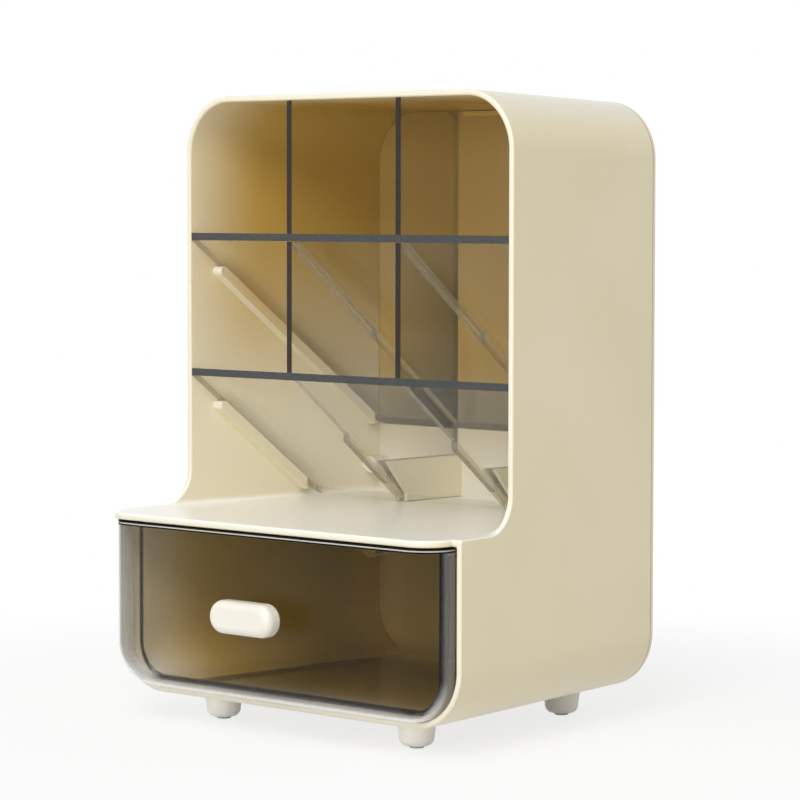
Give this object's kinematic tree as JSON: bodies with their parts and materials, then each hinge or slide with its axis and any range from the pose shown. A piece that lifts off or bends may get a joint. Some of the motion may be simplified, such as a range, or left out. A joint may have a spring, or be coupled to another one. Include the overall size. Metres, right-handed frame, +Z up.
{
  "type": "pen holder with drawer",
  "caption": "Upright desk pen holder: a cream rounded shell with slanted clear shelves, upright clear dividers, an open deck and a clear pull-out drawer on small feet.",
  "frame": {"origin": "on the table at the middle of the overall width and depth, the pull included", "axes": "+Z up, the open front and the drawer face -Y, +X to the right of a viewer at the front"},
  "size_m": [0.1878, 0.168, 0.2575],
  "materials": {
    "cream_plastic": "satin-gloss cream moulding",
    "clear_plastic": "polished clear sheet",
    "drawer_clear": "clear moulding",
    "pull_plastic": "glossy ivory",
    "foot_plastic": "satin ivory",
    "pad_rubber": "soft grey",
    "screw_steel": "bright zinc"
  },
  "bodies": {
    "holder": {"outer_shell": "cream_plastic", "back_panel": "cream_plastic", "back_panel_screws": "screw_steel", "upper_slant_plate": "clear_plastic", "lower_slant_plate": "clear_plastic", "left_divider": "clear_plastic", "right_divider": "clear_plastic", "left_upper_rail": "cream_plastic", "right_upper_rail": "cream_plastic", "left_lower_rail": "cream_plastic", "right_lower_rail": "cream_plastic", "front_left_foot": "foot_plastic", "front_right_foot": "foot_plastic", "rear_left_foot": "foot_plastic", "rear_right_foot": "foot_plastic", "foot_pads": "pad_rubber", "foot_screws": "screw_steel"},
    "drawer": {"drawer_tray": "drawer_clear", "drawer_front": "drawer_clear", "drawer_handle": "pull_plastic", "handle_screw": "screw_steel"}
  },
  "joints": [
    {"name": "drawer_slide", "type": "slide", "parent": "holder", "child": "drawer", "axis": [0, -1, 0], "range_m": [0, 0.115]}
  ]
}
